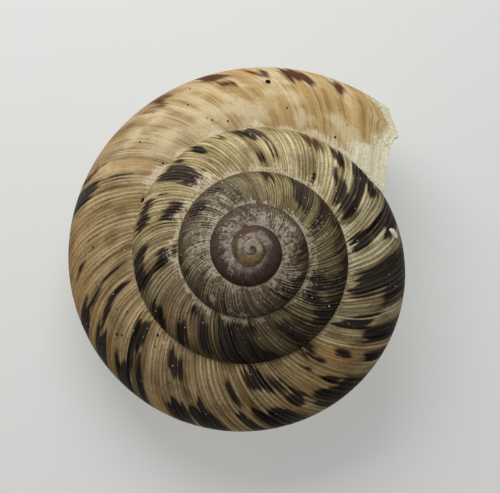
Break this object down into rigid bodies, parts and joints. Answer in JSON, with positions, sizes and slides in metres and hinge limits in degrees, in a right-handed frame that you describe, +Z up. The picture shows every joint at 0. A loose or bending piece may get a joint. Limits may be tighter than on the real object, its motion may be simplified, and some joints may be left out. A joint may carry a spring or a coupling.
{
  "type": "land snail shell",
  "caption": "Low right-handed spiral land snail shell with a conical spire, open mouth with a thin lip and a wide umbilicus, lying on its underside.",
  "frame": {"origin": "on the table plane, under the middle of the shell's outline", "axes": "+Z up from the table towards the apex; +Y the way the top of the picture points; +X to its right, so the mouth is at +X +Y"},
  "size_m": [0.0162, 0.018, 0.0091],
  "materials": {
    "shell": "satin ribbed horn-brown aragonite with near-black flames and a dull brown apex"
  },
  "bodies": {
    "root": {"shell": "shell"}
  },
  "joints": []
}
